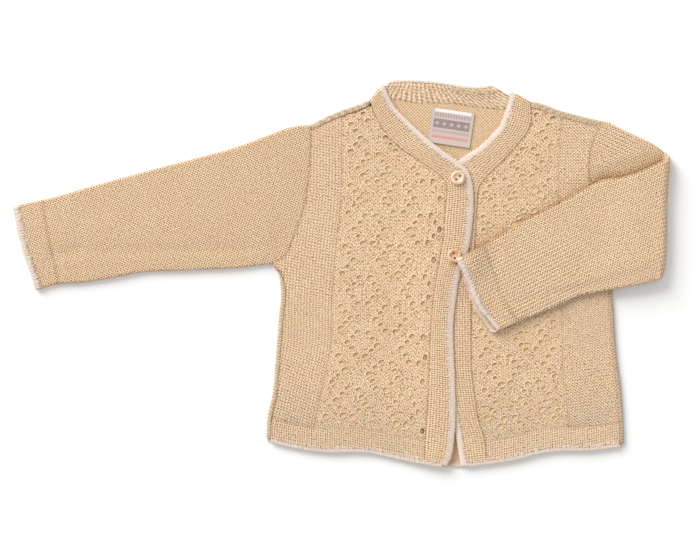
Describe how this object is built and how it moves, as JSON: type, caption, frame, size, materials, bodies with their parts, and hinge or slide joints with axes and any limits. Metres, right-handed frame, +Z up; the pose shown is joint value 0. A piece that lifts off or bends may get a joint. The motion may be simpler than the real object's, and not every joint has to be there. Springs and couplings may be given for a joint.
{
  "type": "baby cardigan",
  "caption": "Knitted baby cardigan laid flat, with eyelet lace fronts, a round neckband, pale edging and one sleeve folded across the front.",
  "frame": {"origin": "on the surface it lies on, under the middle of the back", "axes": "+X from the wearer's right to the left, +Y towards the neck, +Z up out of the front"},
  "size_m": [0.5254, 0.31, 0.0141],
  "materials": {
    "knit": "soft fine-gauge knit, warm beige, with a slight nap",
    "trim": "pale overlocked yarn edging",
    "button": "pearly, slightly translucent",
    "label": "woven satin"
  },
  "bodies": {
    "root": {"back": "knit", "front_right": "knit", "front_left": "knit", "button_band_right": "knit", "button_band_left": "knit", "neckband_right": "knit", "neckband_left": "knit", "neckband_back": "knit", "sleeve_right": "knit", "sleeve_left": "knit", "edging_front_right": "trim", "edging_front_left": "trim", "edging_neck_back": "trim", "edging_hem_right": "trim", "edging_hem_left": "trim", "edging_hem_back": "trim", "edging_cuff_right": "trim", "edging_cuff_left": "trim", "button_top": "button", "button_lower": "button", "neck_label": "label"}
  },
  "joints": []
}
